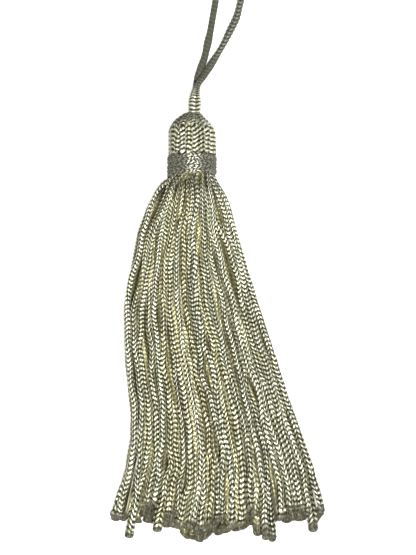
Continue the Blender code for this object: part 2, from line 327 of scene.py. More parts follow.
def layChainette(path, outward, radius, turn, detail, tone, warm=0.0, fuzz=0.0, paintedShadeTint=0.0, dull=0.0,
                 sense=1, flat=1.0, skew=0.0, stretch=1.0, smoothRoot=0.0, cut=True, lumps=None, **own):
    # The points, faces and finish values of one cord; own holds what it has in place of chainette's values
    form = {**chainette, **own}
    path = np.asarray(path, float)
    count = len(path)
    along = lengthsAlong(path)
    length = along[-1]
    tangent = np.gradient(path, along, axis=0)
    tangent /= np.linalg.norm(tangent, axis=1)[:, None]
    outward = np.broadcast_to(outward, path.shape)
    normal = outward - (outward * tangent).sum(axis=1)[:, None] * tangent
    normal /= np.linalg.norm(normal, axis=1)[:, None]
    side = np.cross(tangent, normal)
    radius, turn = np.broadcast_to(radius, count), np.broadcast_to(turn, count)

    # A few rows of points to each stitch
    pace = form["pitch"] * np.broadcast_to(stretch, count)
    counted = np.concatenate([[0.0], np.cumsum(np.diff(along) * 2 / (pace[1:] + pace[:-1]))])
    rows = max(4, round(counted[-1] * detail["rows"]))
    base = np.interp(np.linspace(0.0, counted[-1], rows + 1), counted, along)
    stitch = np.arange(rows + 1) / detail["rows"]

    def atRows(values):
        return np.interp(base, along, np.broadcast_to(values, count))

    # The legs of each V climb along the cord
    angle, around, climb = chainetteColumns(detail["columns"])
    columns = len(angle)
    fade = form["leanFade"] * form["pitch"]
    opened = smoothStep(base, 0, fade) * smoothStep(length - base, 0, fade)
    lift = atRows(form["lean"])[:, None] * (climb[None, :] - 0.5) * sense + skew * np.sin(angle)[None, :]
    at = np.clip(base[:, None] + (atRows(pace) * opened)[:, None] * lift, 0.0, length)

    def atPoints(values):
        return np.interp(at, along, values)

    ridge = np.sin(math.pi * (stitch % 1.0)) ** form["roundness"]
    arch = np.sin(math.pi * (around % 1.0)) ** form["roundness"]
    crest = ridge[:, None] * between((form["legEnds"], 1.0), arch)[None, :]
    rooted = smoothStep(base, 0, max(smoothRoot, 1e-6))
    groove = (atRows(form["relief"]) * rooted)[:, None] * (1 - crest)
    frayed = np.zeros(rows + 1)
    if cut:
        cutLength = form["cutLength"]
        frayed = smoothStep(base, length - cutLength, length - form["wholeCut"] * cutLength)
    reach = atPoints(radius) * (1 - groove * (1 - form["cutGrooves"] * frayed[:, None]))
    if lumps is not None:
        uneven = lumps.normal(0.0, 1.0, columns)[None, :]
        uneven = uneven + form["fineLumps"] * lumps.normal(0.0, 1.0, (rows + 1, columns))
        reach = reach * (1 + frayed[:, None] * (form["spread"] + form["lumps"] * uneven))
    phi = angle[None, :] + atPoints(turn)
    points = np.stack([
        atPoints(path[:, k]) + reach * (
            flat * np.cos(phi) * atPoints(normal[:, k]) + np.sin(phi) * atPoints(side[:, k])) for k in range(3)
    ], axis=-1)

    tip, tipLength = [], 0.0
    if cut:
        tip = [path[-1] + (points[-1] - path[-1]) * wide + tangent[-1] * out * radius[-1]
               for out, wide in form["tip"]]
        tipLength = form["tipLength"] * radius[-1]
    rings = np.stack([*points, *tip])
    vertices = np.concatenate([rings.reshape(-1, 3), [path[0]], [path[-1] + tangent[-1] * tipLength]])
    vertices[:, 2] = np.maximum(vertices[:, 2], 0.0)  # flat where it lies on the surface

    def toPoints(values, tipValue):  # from one value a row to one a point
        values = np.append(values, np.full(len(tip), tipValue))
        return np.append(np.repeat(values, columns), [values[0], values[-1]])

    bare = 1 - rooted if smoothRoot else 0.0 * base
    toneRow = atRows(tone)
    stitchAll = np.append(stitch, stitch[-1] + form["tipStitch"] * np.arange(1, len(tip) + 1))
    quads, fans, quadMap, fanMap = tubeFaces(around, stitchAll)
    # cut holds the frayed end and the dull parts, which on the head and the binding are painted shade; root
    # holds the bare root and a painted shade tint
    return {
        "vertices": vertices, "quads": quads, "fans": fans, "quadMap": quadMap, "fanMap": fanMap,
        "tone": toPoints(toneRow, toneRow[-1]),
        "cut": toPoints(np.maximum(frayed, atRows(dull)), 1.0),
        "root": toPoints(np.maximum(bare, atRows(paintedShadeTint)), 0.0),
        "warm": np.full(len(vertices), warm),
        "fuzz": np.full(len(vertices), fuzz),
    }


def addPiece(name, vertices, faces, material, slotName, *nodes):
    obj = addMesh(name, vertices, faces, material)
    obj.data.shade_smooth()
    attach(obj, "root")
    if nodes:
        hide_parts(*nodes)
    print(f"tassel: {name} {sum(len(face) - 2 for face in faces)} triangles")
    return obj


def joinTubes(name, tubes, material, slotName, *nodes):
    faces, corners = [], []
    start = 0
    for tube in tubes:
        faces += (tube["quads"] + start).tolist() + (tube["fans"] + start).tolist()
        corners += [tube["quadMap"].reshape(-1, 2), tube["fanMap"].reshape(-1, 2)]
        start += len(tube["vertices"])
    vertices = np.concatenate([tube["vertices"] for tube in tubes])
    obj = addPiece(name, vertices, faces, material, slotName, *nodes)
    layer = obj.data.uv_layers.new(name="stitches")
    layer.data.foreach_set("uv", np.concatenate(corners).astype(np.float32).ravel())
    for attribute in finishParts:
        values = np.concatenate([tube[attribute] for tube in tubes]).astype(np.float32)
        obj.data.attributes.new(attribute, "FLOAT", "POINT").data.foreach_set("value", values)
    return obj


# Finish of the knitted rayon

skirtRayon = {
    # Painted light and shade: the first colour is painted shade in the grooves between stitches, the second
    # the yarn's own colour, the third a painted highlight along each leg's crest
    "paintedGrooveShade": (0.03, 0.027, 0.01),
    "body": (0.3, 0.305, 0.18),
    "paintedCrestHighlight": (0.89, 0.9, 0.74),
    "stops": (0.12, 0.36, 0.7),  # where painted groove shade, yarn colour and painted crest highlight lie between groove and crest
    "shares": (0.8, 0.3, 0.2, 0.2),  # of stitch, patches and filaments in the shade, less a shift
    "narrow": 2.0,  # how thin the painted highlight line of a stitch is
    "valley": 0.12,  # what is left of that painted highlight between two legs
    "warmTint": (1.0, 0.9, 0.54),
    "warmth": 1.5,
    # the colour of the bare roots just under the binding, partly painted shade there, and painted shade on
    # cords that others cover
    "rootAndPaintedShadeColour": (0.46, 0.42, 0.18),
    "rootShare": 0.85,
    "cutColour": (0.016, 0.014, 0.005),
    "cutPale": (0.07, 0.065, 0.03),
    "cutFuzz": (0.3, 0.295, 0.22),
    "cutStops": (0.4, 0.62, 0.78),
    "cutShare": 0.9,
    "fuzzShare": 0.1,
    "tones": (0.74, 0.5, 0.1),  # brightness at tone 0, how fast it rises, the least
    "filamentGrain": (2.2, 17.0, 53.0),  # across, along, from cord to cord
    "patchGrain": (0.5, 0.35, 31.0),
    "strandGrain": (3.1, 0.9, 71.0),
    "roughness": 0.26,
    "roughnessRange": 0.16,
    "cutRoughness": 0.55,
    "metallic": 0.5,
    "specular": 0.6,
    "coat": 0.15,
    "coatRoughness": 0.22,
    "filaments": 0.6,
    "filamentDepth": 0.00006,
    "bumps": (1.2, 1.6),  # stitches and frayed strands against the filaments
}
headRayon = dict(skirtRayon, valley=0.4)
# Its frayed colours serve as painted shade on the binding's dull sides
bindingRayon = dict(
    skirtRayon, body=(0.26, 0.26, 0.205), valley=0.3, coat=0.0,
    cutColour=(0.018, 0.018, 0.008), cutPale=(0.076, 0.075, 0.044), cutFuzz=(0.12, 0.12, 0.078))
loopRayon = dict(
    skirtRayon, paintedGrooveShade=(0.055, 0.055, 0.035), body=(0.1, 0.102, 0.07), paintedCrestHighlight=(0.21, 0.215, 0.165), valley=0.5,
    cutColour=(0.054, 0.054, 0.034), cutPale=(0.074, 0.075, 0.048), cutFuzz=(0.1, 0.102, 0.07),
    roughness=0.42, coat=0.0, metallic=0.3)


def rayonMaterial(name, finish):
    material, graph = newMaterial(name)
    stitches = graph.node("ShaderNodeUVMap", {"uv_map": "stitches"}, {})
    around = graph.node("ShaderNodeSeparateXYZ", {}, [stitches])
    along = Wire(graph, around.socket.node.outputs[1])
    tone, warm, cut, root, fuzz = [graph.attribute(part) for part in finishParts]

    def grain(*scales, detail):
        spot = [wire * scale for wire, scale in zip((around, along, tone), scales)]
        return graph.noise(graph.node("ShaderNodeCombineXYZ", {}, spot), 1.0, detail)

    # Painted light and shade: the grooves between stitches are painted dark and each leg's crest gets a
    # painted highlight line
    ridge = (along.worked("FRACT") * math.pi).worked("SINE") ** finish["narrow"]
    arch = (around.worked("FRACT") * math.pi).worked("SINE")
    lobe = ridge * (finish["valley"] + (1 - finish["valley"]) * arch)
    filaments = grain(*finish["filamentGrain"], detail=3.0)
    patches = grain(*finish["patchGrain"], detail=2.0)
    strands = grain(*finish["strandGrain"], detail=3.0)
    lobeShare, patchShare, filamentShare, shift = finish["shares"]
    shade = graph.ramp(lobe * lobeShare + patches * patchShare + filaments * filamentShare - shift,
                       finish["stops"], (finish["paintedGrooveShade"], finish["body"], finish["paintedCrestHighlight"]))
    warmed = (warm * patches * finish["warmth"]).worked("MINIMUM", 1.0)
    tinted = graph.mixColour(warmed, shade, finish["warmTint"], "MULTIPLY")
    # bare roots, and painted shade on cords that others cover
    rooted = graph.mixColour(root * finish["rootShare"], tinted, finish["rootAndPaintedShadeColour"])
    # The tone sets brightness: random per cord, with painted light and shade laid along it
    start, rise, lowest = finish["tones"]
    bright = graph.node("ShaderNodeCombineXYZ", {}, [(start + rise * tone).worked("MAXIMUM", lowest)] * 3)
    toned = graph.mixColour(1.0, rooted, bright, "MULTIPLY")
    # The frayed colour, which the dull parts of the head and the binding take as painted shade
    cutColours = (finish["cutColour"], finish["cutPale"], finish["cutFuzz"])
    ravelledAndShaded = graph.ramp(strands + finish["fuzzShare"] * fuzz, finish["cutStops"], cutColours)
    stitchBump, strandBump = finish["bumps"]
    graph.surface({
        "Base Color": graph.mixColour(cut * finish["cutShare"], toned, ravelledAndShaded),
        "Roughness": finish["roughness"] + finish["roughnessRange"] * filaments + finish["cutRoughness"] * cut,
        "Normal": graph.node("ShaderNodeBump", {}, {
            "Strength": finish["filaments"], "Distance": finish["filamentDepth"],
            "Height": (filaments + stitchBump * lobe) * (1 - cut) + strandBump * strands * cut}),
        "Metallic": finish["metallic"] * (1 - cut),
        "Specular IOR Level": finish["specular"],
        "Coat Weight": finish["coat"],
        "Coat Roughness": finish["coatRoughness"],
    })
    return material


skirtMaterial = rayonMaterial("glossyRayon", skirtRayon)
headMaterial = rayonMaterial("headRayon", headRayon)
bindingMaterial = rayonMaterial("bindingRayon", bindingRayon)
loopMaterial = rayonMaterial("loopRayon", loopRayon)

# Hanging loop

loop = {
    "diameter": 0.0018,
    "tone": 0.5,
    "turned": 0.5,
    "twist": 12.0,  # radians in a metre
    "lean": 0.4,
    "legEnds": 0.6,
    "relief": (0.21, 0.1),  # depth of its stitches, and where it is rubbed
    "pointStep": 0.0006,
    "pressed": 0.06,  # how much wider the legs are where they meet
    "pressedAt": ((-0.0172, -0.0135), (-0.0098, -0.0074)),  # down
    "rubbed": 0.85,  # how dull one leg is
    "rubbedFrom": (-0.034, -0.028),
}
legWidths = (  # down, left leg, right leg: how flat each leg lies, as a share of its diameter
    (-0.028, 0.97, 1.04), (-0.0255, 0.97, 1.2), (-0.0215, 1.00, 1.16), (-0.02, 1.16, 1.04),
    (-0.0185, 1.2, 0.95), (-0.0168, 1.05, 0.94), (-0.015, 1.03, 1.02), (-0.013, 1.1, 1.14),
    (-0.011, 0.98, 0.98), (-0.009, 0.9, 0.9), (-0.008, 0.88, 0.88),
)
loopRoute = (  # across, down, height
    (0.0002, -0.0003, 0.0053), (0.0002, -0.0018, 0.0052), (0.0003, -0.0036, 0.0045),
    (0.00045, -0.0052, 0.0031), (0.00065, -0.0068, 0.0018), (0.00095, -0.0086, 0.00105),
    (0.0013, -0.0103, 0.0009), (0.00205, -0.0124, 0.0009), (0.003, -0.0151, 0.0009),
    (0.0037, -0.0182, 0.0009), (0.0045, -0.022, 0.0009), (0.00515, -0.0258, 0.0009),
    (0.00575, -0.0293, 0.0009), (0.0062, -0.0326, 0.0009), (0.0063, -0.0358, 0.0009),
    (0.0067, -0.0386, 0.0009), (0.008, -0.0411, 0.0009), (0.01015, -0.0422, 0.0009),
    (0.0124, -0.0413, 0.0009), (0.01375, -0.0389, 0.0009), (0.0137, -0.0359, 0.0009),
    (0.0129, -0.0326, 0.0009), (0.0121, -0.0292, 0.0009), (0.0112, -0.0257, 0.0009),
    (0.0097, -0.0225, 0.0009), (0.00785, -0.0187, 0.0009), (0.0061, -0.0157, 0.00095),
    (0.0044, -0.0129, 0.00115), (0.00285, -0.0102, 0.0019), (0.0015, -0.0078, 0.0035),
    (0.001, -0.0052, 0.0053), (0.00115, -0.0025, 0.00675), (0.00115, -0.0003, 0.0069),
)
roll = {  # the loop's legs pushed together over the head
    "tone": (-0.7, 0.42),  # at its top and at the head
    "toneOver": (0.0, 0.5),  # the share of its length where that changes
    "dull": 0.7,
    "dullOver": (0.0, 0.4),
    "lean": 0.42,
    "skew": 0.25,
    "stretch": 0.66,
    "relief": 0.25,
    "turned": -0.3,
    "pointStep": 0.0004,
}
rollRoute = (  # across, down, height, radius
    (0.0012, -0.0076, 0.0036, 0.00088), (0.00095, -0.0062, 0.0046, 0.00108),
    (0.0007, -0.0045, 0.0058, 0.00142), (0.0006, -0.0028, 0.0067, 0.00176),
    (0.0005, -0.001, 0.0068, 0.00184), (0.00045, 0.0004, 0.006, 0.00135),
)


def makeLoop():
    route = smoothRoute(place(*np.array(loopRoute).T), loop["pointStep"])
    along = lengthsAlong(route)
    length = float(along[-1])
    down = headTop - route[:, 1]
    meet, part = loop["pressedAt"]
    pressed = smoothStep(down, *meet) * (1 - smoothStep(down, *part))
    leftLeg = along < length / 2
    width = np.where(leftLeg, readColumn(legWidths, 1, down), readColumn(legWidths, 2, down))
    radius = loop["diameter"] / 2 * (width + loop["pressed"] * pressed)
    rubbed = loop["rubbed"] * np.maximum(smoothStep(down, *loop["rubbedFrom"]) * leftLeg, pressed)
    turned = loop["turned"] + loop["twist"] * (along - length)
    tube = layChainette(
        route, upward, radius, turned, fineDetail, loop["tone"], lean=loop["lean"], legEnds=loop["legEnds"],
        relief=between(loop["relief"], rubbed), dull=rubbed, cut=False)
    cord = joinTubes("loop_cord", [tube], loopMaterial, "loop_cord", "hanging_loop")
    print(f"tassel: the loop's cord is {1000 * length:.1f} mm long")


def makeRoll():
    points = np.array(rollRoute)
    path = smoothRoute(np.hstack([place(*points[:, :3].T), points[:, 3:]]), roll["pointStep"])
    share = np.linspace(0.0, 1.0, len(path))
    tube = layChainette(
        path[:, :3], upward, path[:, 3], roll["turned"], fineDetail,
        between(roll["tone"], smoothStep(share, *roll["toneOver"])), lean=roll["lean"], skew=roll["skew"],
        stretch=roll["stretch"], relief=roll["relief"],
        dull=roll["dull"] * (1 - smoothStep(share, *roll["dullOver"])), cut=False)
    joinTubes("loop_roll", [tube], headMaterial, "loop_cord")


makeLoop()
makeRoll()

# Skirt: the same lay of cords as in the solids

skirt = {
    "cords": 84,
    "seed": 7,
    "pieces": 6,
    "pointStep": 0.0005,
    "neckPitch": 0.00098,
    "cordDiameter": 0.00185,
    "easeLength": 0.026,
    "stray": 0.0004,
    "wander": (0.6, 0.8),  # what stays of it from row to row, and what is new
    "settlingSteps": 140,
    "settlingDrop": 0.0006,
    "settlingShare": 0.45,
    "layerStep": 0.0042,  # how much further back the top cords end
    "neatStep": 0.35,  # of that is left where the cords end neatly
    "endStep": 0.0004,
    "endSupport": 0.6,
    "ragged": 0.0005,
    "raggedRange": (-1.5, 0.1),
    "fullness": (0.84, 1.03),  # of a cord against the room that it has
    "underFullness": 0.36,  # more for the cords that lie low
    "flatness": (0.84, 1.0),
    "swell": 0.05,
    "waver": 0.00026,
    "looseFrom": (0.018, 0.03),  # down
    "lowest": 0.9,  # height of a cord on the surface, against its radius
    "twist": 55.0,  # radians in a metre
    "roll": 0.6,
    "stretch": (0.93, 1.07),  # length of its stitches
    "stretchedEnds": 0.2,  # more towards the ends
    "stretchFrom": (0.04, 0.1),  # down
    "skew": (-0.25, 0.25),
    "lean": (0.55, 1.05),
    "senses": (-1, -1, 1),  # which way up its V is
    "parted": 0.00068,
    "partedReach": 0.0024,
    "coverRise": 0.35,  # how much higher a covering cord lies, against its room
    "covered": (0.35, 1.2),  # painted shade: from how much cover a cord is painted dark and olive
    "coverShade": 1.15,
    "coverShadeTint": 0.95,
    "hiddenAt": (-0.45, -0.2, 0.0, 0.2, 0.45),  # spots across a cord that others have to cover
    "upperTone": 0.33,  # brighter under the neck
    "upperTo": (0.03, 0.06),
    "paintedSideLightAndShade": ((-0.02, 0.1), (-0.01, 0.0), (0.012, 0.0), (0.03, -0.24)),  # across, tone: painted light on the left edge and painted shade on the right side
    "rootShade": (0.0172, 0.025),  # down, where they come out of the neck's shade
    "rootDark": 1.1,
    "warmWidth": 0.02,
    "leastWarm": 0.25,
    "rootStart": 0.0148,  # where the cords start, under the binding
    "smoothRoot": 0.0052,  # bare threads at the middle of the neck
    "stitchedRoot": 0.0018,
    "bareWidth": 0.0034,
    "bareShare": 0.6,
    "cutLengths": (0.0006, 0.0062),  # the dull, unravelled end of a cord: neat, and where it lies low, where its longer dark end is partly painted shade
    "ravelledAndShadedFrom": (0.25, 0.75),  # how low; partly painted shade on the ends of cords that lie low
    "neatShare": 0.12,  # of the low cords that end as neatly as the others
    "neatGroups": (  # across
        (-0.022, -0.0136), (-0.0092, -0.0072), (-0.0034, -0.001), (0.0074, 0.0122), (0.0212, 0.0234),
    ),
    "fuzzFrom": (0.45, 0.9),  # how high the cords lie whose cut ends are pale, partly painted light on cords that lie high
    "tipFuzz": 0.2,
    "tipPull": 0.4,  # how much a high cord is preferred for a tip
    "tipBend": 0.45,
    "tipSwell": 0.42,
    "tipSwellFrom": (0.009, 0.002),  # before its end
    "tipSpread": -0.12,
    "trimmed": 0.003,
    "mostTrim": 0.001,
}
skirtRows = (  # down, left, right, crown
    (0.0161, -0.0055, 0.006, 0.0112), (0.0177, -0.0076, 0.0067, 0.012),
    (0.0201, -0.0094, 0.0081, 0.0122), (0.0243, -0.0116, 0.0098, 0.0121),
    (0.0302, -0.0139, 0.0113, 0.0115), (0.0381, -0.0153, 0.0136, 0.0107),
    (0.0489, -0.0172, 0.0169, 0.0096), (0.0619, -0.0169, 0.0211, 0.0085),
    (0.0768, -0.0153, 0.026, 0.0077), (0.0889, -0.0167, 0.0302, 0.007),
    (0.1, -0.0202, 0.0328, 0.0064),
)
skirtTips = (  # across, down, length of the frayed end: single cords that stand out beyond the others
    (-0.0154, 0.1061, 0.0015), (-0.0085, 0.1045, 0.0008), (0.0163, 0.1056, 0.004), (0.018, 0.1066, 0.0046),
    (0.0199, 0.1071, 0.003), (0.0302, 0.1045, 0.0028), (0.0321, 0.0999, 0.0026),
)
skirtEnds = (  # across, down: of the cords between the tips
    (-0.0209, 0.1016), (-0.017, 0.1018), (-0.01, 0.1018), (-0.0085, 0.1032), (-0.0045, 0.1034),
    (-0.0025, 0.1046), (-0.001, 0.1058), (0.0027, 0.1067), (0.0044, 0.1055), (0.0072, 0.1049),
    (0.0125, 0.1039), (0.0147, 0.103), (0.0185, 0.1024), (0.0275, 0.1021), (0.03, 0.1032),
    (0.0327, 0.099),
)
skirtPartings = (  # across, down, half length: where cords part and show the ones below
    (-0.0077, 0.0204, 0.003), (-0.0096, 0.0247, 0.003), (0.007, 0.0258, 0.0055), (0.0086, 0.0355, 0.004),
    (0.01, 0.0415, 0.004), (0.0058, 0.037, 0.004), (0.0006, 0.0308, 0.004), (-0.0145, 0.043, 0.0045),
    (0.0056, 0.0498, 0.005), (0.0041, 0.0584, 0.003), (-0.0107, 0.0595, 0.0035), (-0.0057, 0.0624, 0.0036),
    (0.0035, 0.0663, 0.0032), (0.0148, 0.07, 0.004), (0.0063, 0.0841, 0.0025), (-0.006, 0.088, 0.0025),
    (0.0206, 0.0925, 0.004), (0.0148, 0.0932, 0.003), (-0.0018, 0.093, 0.002),
)
waves = {
    "long": (120, 260),  # radians in a metre
    "short": (420, 800),
    "shares": (0.65, 0.35),
}


def wave(chance, at):  # an uneven wave between -1 and 1 along a cord
    longWave = np.sin(at * chance.uniform(*waves["long"]) + chance.uniform(0, 2 * math.pi))
    shortWave = np.sin(at * chance.uniform(*waves["short"]) + chance.uniform(0, 2 * math.pi))
    return waves["shares"][0] * longWave + waves["shares"][1] * shortWave


def cordPitch(down):  # the room that a cord has
    share = np.clip((down - skirtRows[0][0]) / skirt["easeLength"], 0.0, 1.0)
    return skirt["neckPitch"] + (skirt["cordDiameter"] - skirt["neckPitch"]) * np.sin(share * math.pi / 2)


def pushApart(places, pitch):
    gap = places[:, None, :] - places[None, :, :]
    far = np.sqrt((gap**2).sum(axis=2)) + np.eye(len(places))
    short = np.clip(pitch - far, 0.0, None) / far
    return places + skirt["settlingShare"] * (gap * short[:, :, None]).sum(axis=1)


def cordPlaces():  # across and height of every cord at every row, from the neck down
    cords = skirt["cords"]
    chance = np.random.default_rng(skirt["seed"])
    order = np.arange(cords)
    ring = np.sqrt((order + 0.5) / cords)
    turn = order * math.pi * (3 - math.sqrt(5))
    share = np.stack([ring * np.cos(turn), ring * np.sin(turn)], axis=1)
    wander = chance.normal(0.0, 1.0, cords)
    kept, added = skirt["wander"]
    rows = []
    for number, (down, left, right, crown) in enumerate(skirtRows):
        pitch = cordPitch(down)
        middle = np.array([(left + right) / 2, crown / 2])
        reach = np.array([right - left - pitch, crown - pitch]) / 2
        if number == 0:
            middle[1] = axisHeight
            reach[1] = reach[0]
        places = middle + share * reach
        wander = kept * wander + added * chance.normal(0.0, 1.0, cords)
        if number > 1:
            places[:, 0] += skirt["stray"] * wander
        for step in range(skirt["settlingSteps"]):
            if number > 2:
                places[:, 1] -= skirt["settlingDrop"] / skirt["settlingSteps"]
            places = pushApart(places, pitch)
            if number:
                places[:, 0] = np.clip(places[:, 0], left + pitch / 2, right - pitch / 2)
                places[:, 1] = np.clip(places[:, 1], pitch / 2, crown - pitch / 2)
        share = (places - middle) / reach
        rows.append(places)
    return np.array(rows)


def eachRow(places):  # the room, across and height of all cords, row by row
    return [(cordPitch(row[0]), *spots.T) for row, spots in zip(skirtRows, places)]


def nearness(across, pitch):  # how much each cord lies over or under each other one
    return np.clip(1 - np.abs(across[:, None] - across[None, :]) / pitch, 0.0, 1.0)


def isAbove(height, pitch):  # whether each other cord lies over it
    return height[None, :] > height[:, None] + skirt["coverRise"] * pitch


def coverOf(places):  # how much of each cord lies under others, at every row
    return np.array([(nearness(across, pitch) * isAbove(height, pitch)).sum(axis=1)
                     for pitch, across, height in eachRow(places)])


def endSupport(places):  # how much lies under each cord's end
    across, height = places[-1, :, 0], places[-1, :, 1]
    under = height[None, :] < height[:, None] - skirt["endStep"]
    found = (nearness(across, skirt["cordDiameter"]) * under).sum(axis=1)
    return np.clip(found / skirt["endSupport"], 0.0, 1.0)


def buriedCords(places):  # cords that others hide from above all the way
    hidden = np.ones(skirt["cords"], bool)
    for pitch, across, height in eachRow(places)[2:]:
        for offset in skirt["hiddenAt"]:
            gap = np.abs(across[None, :] - (across + offset * pitch)[:, None])
            hidden &= (isAbove(height, pitch) & (gap < 0.5 * pitch)).any(axis=1)
    return hidden


def tipCords(places):  # the cord that ends in each tip: one that lies high and near
    across, height = places[-1, :, 0], places[-1, :, 1]
    found = {}
    for tip in skirtTips:
        far = np.abs(across - tip[0]) - skirt["tipPull"] * height
        far[list(found)] = 1.0
        found[int(np.argmin(far))] = tip
    return found


def endsNeatly(across):
    return any(low < across < high for low, high in skirt["neatGroups"])


def cordLine(places, number, support, chanceEnd, tips):  # a cord's middle line, and how high it lies
    downs = np.array([row[0] for row in skirtRows])
    across, height = places[:, number, 0].copy(), places[:, number, 1].copy()
    diameter = skirt["cordDiameter"]
    level = (height[-1] - diameter / 2) / (skirtRows[-1][3] - diameter)
    step = skirt["layerStep"] * (skirt["neatStep"] if endsNeatly(across[-1]) else 1.0)
    end = (readColumn(skirtEnds, 1, across[-1]) - step * level * support[number]
           + skirt["ragged"] * np.clip(chanceEnd, *skirt["raggedRange"]))
    run = (end - downs[-2]) / (downs[-1] - downs[-2])
    across[-1] = across[-2] + run * (across[-1] - across[-2])
    if number in tips:
        across[-2] += skirt["tipBend"] * (tips[number][0] - across[-1])
        across[-1], end = tips[number][0], tips[number][1] - chainette["tipLength"] * diameter / 2
    height[-1] = max(diameter / 2, height[-2] + run * (height[-1] - height[-2]))
    downs[-1] = end
    downs = np.append(skirt["rootStart"], downs)
    across = np.append(across[0], across)
    height = np.append(height[0], height)
    at = np.arange(downs[0], end, skirt["pointStep"])
    return at, smoothColumn(downs, across, at), smoothColumn(downs, height, at), level


def partings(at, across):  # how far a cord is pushed aside where its neighbours part
    push = np.zeros(len(at))
    for spot, middle, half in skirtPartings:
        if at[0] < middle < at[-1]:
            side = 1.0 if np.interp(middle, at, across) > spot else -1.0
            near = np.exp(-((at - middle) / half) ** 2 - ((across - spot) / skirt["partedReach"]) ** 2)
            push += side * skirt["parted"] * near
    return push


def trimEnd(tube, across, end):  # slants a cord's end along the line of its neighbours' ends
    points = tube["vertices"]
    shift = readColumn(skirtEnds, 1, points[:, 0] - axisX) - readColumn(skirtEnds, 1, across)
    share = smoothStep(headTop - points[:, 1], end - skirt["trimmed"], end)
    points[:, 1] -= share * np.clip(shift, -skirt["mostTrim"], skirt["mostTrim"])


def makeSkirt(places, lines, tips):
    chance = np.random.default_rng(skirt["seed"] + 2)
    hidden = buriedCords(places)
    cover = coverOf(places)
    downs = [row[0] for row in skirtRows]
    tubes, paths = [], []
    for number in np.argsort(places[-1, :, 0]):
        at, across, height, level = lines[number]
        isTip = number in tips

        # Where it lies and how full it is
        # Painted shade: a cord that others cover is darkened and tinted olive
        covered = smoothStep(np.interp(at, downs, cover[:, number]), *skirt["covered"])
        fullness = chance.uniform(*skirt["fullness"]) + skirt["underFullness"] * max(0.0, 1 - 2 * level)
        radius = fullness * cordPitch(at) / 2
        radius = radius * (1 + skirt["swell"] * wave(chance, at))
        loose = smoothStep(at, *skirt["looseFrom"])
        across = across + skirt["waver"] * loose * wave(chance, at) + (1 - covered) * partings(at, across)
        left, right = readColumn(skirtRows, 1, at) + radius, readColumn(skirtRows, 2, at) - radius
        across = np.where(at > skirtRows[1][0], np.clip(across, left, np.maximum(left, right)), across)
        height = np.maximum(height + skirt["waver"] * loose * wave(chance, at), skirt["lowest"] * radius)
        if isTip:
            swellOver = [at[-1] - back for back in skirt["tipSwellFrom"]]
            radius = radius * (1 + skirt["tipSwell"] * smoothStep(at, *swellOver))
        paths.append((at, across, height, radius))
        turn = chance.uniform(0, 2 * math.pi) + chance.normal(0, skirt["twist"]) * (at - at[0])
        turn = turn + skirt["roll"] * wave(chance, at)

        # Its root, its end and its shade
        bare = abs(across[0]) < skirt["bareWidth"] and chance.uniform() < skirt["bareShare"]
        drawn = skirt["stretchedEnds"] * smoothStep(at, *skirt["stretchFrom"])
        neat = chance.uniform() < skirt["neatShare"] or endsNeatly(across[-1]) or isTip
        # Partly painted shade: a cord that lies low gets a longer, dark, dull end
        ravelledAndShaded = 0.0 if neat else smoothStep(1 - level, *skirt["ravelledAndShadedFrom"])
        # Its tone: random, with painted shade where it leaves the neck and where others cover it, brighter
        # just under the neck, and painted light and shade from side to side
        tone = chance.uniform(0, 1) - skirt["rootDark"] * (1 - smoothStep(at, *skirt["rootShade"]))
        tone = tone + skirt["upperTone"] * (1 - smoothStep(at, *skirt["upperTo"]))
        tone = tone - skirt["coverShade"] * covered + np.interp(across, *zip(*skirt["paintedSideLightAndShade"]))
        inside = 1 - abs(float(across.mean())) / skirt["warmWidth"]
        warm = chance.uniform(0, 1) ** 2 * max(skirt["leastWarm"], inside)
        tubes.append(layChainette(
            place(across, at, height), upward, radius, turn, plainDetail if hidden[number] else fineDetail,
            tone, warm=warm, sense=chance.choice(skirt["senses"]), flat=chance.uniform(*skirt["flatness"]),
            smoothRoot=skirt["smoothRoot" if bare else "stitchedRoot"],
            stretch=chance.uniform(*skirt["stretch"]) + drawn, skew=chance.uniform(*skirt["skew"]),
            lean=chance.uniform(*skirt["lean"]), lumps=chance, paintedShadeTint=skirt["coverShadeTint"] * covered,
            spread=skirt["tipSpread"] if isTip else chainette["spread"],
            fuzz=skirt["tipFuzz"] if isTip else float(smoothStep(level, *skirt["fuzzFrom"])),
            cutLength=tips[number][2] if isTip else between(skirt["cutLengths"], ravelledAndShaded)))
        if not isTip:
            trimEnd(tubes[-1], across[-1], at[-1])
    size = math.ceil(len(tubes) / skirt["pieces"])
    for part in range(skirt["pieces"]):
        joinTubes(f"skirt_cords_{part + 1}", tubes[part * size:(part + 1) * size], skirtMaterial,
                  "chainette", "skirt")
    return paths


skirtPlaces = cordPlaces()
skirtSupport = endSupport(skirtPlaces)
raggedEnds = np.random.default_rng(skirt["seed"] + 1).normal(0.0, 1.0, skirt["cords"])
cordsWithTips = tipCords(skirtPlaces)
skirtLines = [cordLine(skirtPlaces, number, skirtSupport, raggedEnds[number], cordsWithTips)
              for number in range(skirt["cords"])]
skirtPaths = makeSkirt(skirtPlaces, skirtLines, cordsWithTips)

# Loose filaments at the cut ends of the cords

fibres = {
    "count": 10,  # at each end
    "sides": 3,
    "scatter": 0.45,
    "back": 0.0006,
    "splay": 0.3,
    "bend": 0.25,
    "length": (0.0006, 0.0019),
    "thickness": 0.00004,
    "thinning": 0.7,
    "colour": (0.13, 0.127, 0.085),
    "paleColour": (0.34, 0.335, 0.25),
    "stops": (0.4, 0.62),
    "speckle": 1400.0,
    "roughness": 0.5,
}


def fibreMaterial():
    material, graph = newMaterial("looseFilaments")
    inside = graph.node("ShaderNodeTexCoord", {}, {}, output=3)
    colours = (fibres["colour"], fibres["paleColour"])
    speckle = graph.noise(inside, fibres["speckle"], 1.0)
    graph.surface({
        "Base Color": graph.ramp(speckle, fibres["stops"], colours), "Roughness": fibres["roughness"]})
    return material


